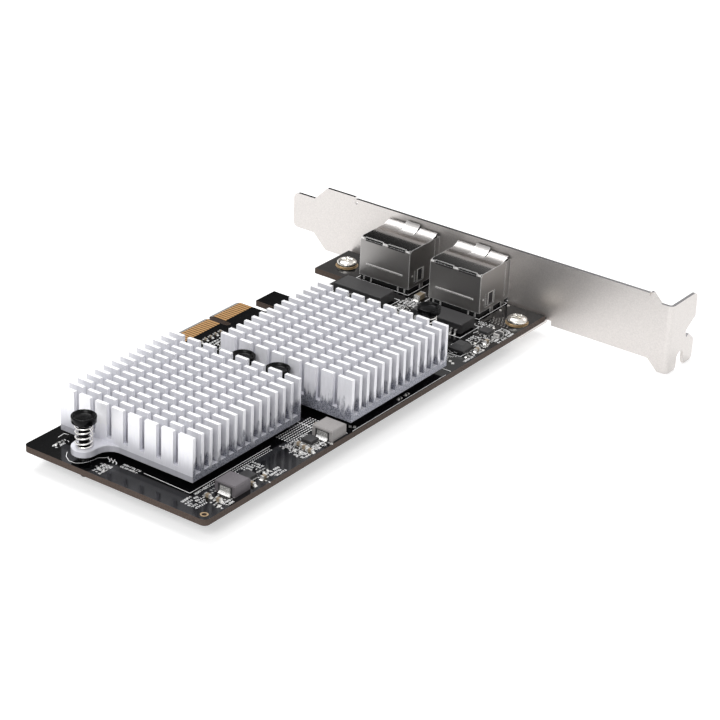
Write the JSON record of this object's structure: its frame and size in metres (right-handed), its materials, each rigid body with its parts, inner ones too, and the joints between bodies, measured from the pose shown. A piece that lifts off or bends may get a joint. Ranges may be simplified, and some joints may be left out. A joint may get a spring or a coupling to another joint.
{
  "type": "network interface card",
  "caption": "Full-height network adapter card with shielded RJ45 jacks, finned heatsinks held by push pins, finger tab and folded steel bracket.",
  "frame": {"origin": "centre of the card's bounding box, on the plane of its lowest point", "axes": "+X along the board, away from the bracket; +Y up the board, from the finger tab to the ear; +Z out of the component side"},
  "size_m": [0.1526, 0.1202, 0.0214],
  "materials": {
    "solder_mask": "satin",
    "gold_plate": "satin",
    "satin_nickel": "satin",
    "screw_nickel": "polished",
    "tinned_shield": "satin",
    "contact_gold": "polished",
    "lens_green": "gloss",
    "lens_amber": "gloss",
    "housing_black": "matte",
    "heatsink_aluminium": "satin",
    "pin_nylon": "satin",
    "spring_steel": "polished",
    "thermal_pad": "matte",
    "tinned_terminal": "satin",
    "inductor_grey": "matte",
    "capacitor_tan": "satin",
    "resistor_black": "satin",
    "can_metal": "satin",
    "package_black": "matte"
  },
  "bodies": {
    "root": {"bracket": "satin_nickel", "bracket_screws": "screw_nickel", "capacitor_bodies": "capacitor_tan", "capacitor_caps": "tinned_terminal", "choke": "package_black", "circuit_board": "solder_mask", "controller_a": "package_black", "controller_b": "package_black", "crystal": "can_metal", "diode": "package_black", "diode_caps": "tinned_terminal", "edge_contacts_under": "gold_plate", "edge_contacts_upper": "gold_plate", "heatsink_a": "heatsink_aluminium", "heatsink_b": "heatsink_aluminium", "inductor_1": "inductor_grey", "inductor_1_clips": "tinned_terminal", "inductor_2": "inductor_grey", "inductor_2_clips": "tinned_terminal", "jack_a_activity_lens": "lens_amber", "jack_a_contacts": "contact_gold", "jack_a_housing": "housing_black", "jack_a_link_lens": "lens_green", "jack_a_shield": "tinned_shield", "jack_b_activity_lens": "lens_amber", "jack_b_contacts": "contact_gold", "jack_b_housing": "housing_black", "jack_b_link_lens": "lens_green", "jack_b_shield": "tinned_shield", "logic_chip": "package_black", "magnetics_a": "package_black", "magnetics_a_leads": "tinned_terminal", "magnetics_b": "package_black", "magnetics_b_leads": "tinned_terminal", "memory_chip": "package_black", "pin_springs_a": "spring_steel", "pin_springs_b": "spring_steel", "plated_lands": "gold_plate", "push_pins_a": "pin_nylon", "push_pins_b": "pin_nylon", "regulator_1": "package_black", "regulator_2": "package_black", "resistor_bodies": "resistor_black", "resistor_caps": "tinned_terminal", "thermal_pad_a": "thermal_pad", "thermal_pad_b": "thermal_pad"}
  },
  "joints": []
}
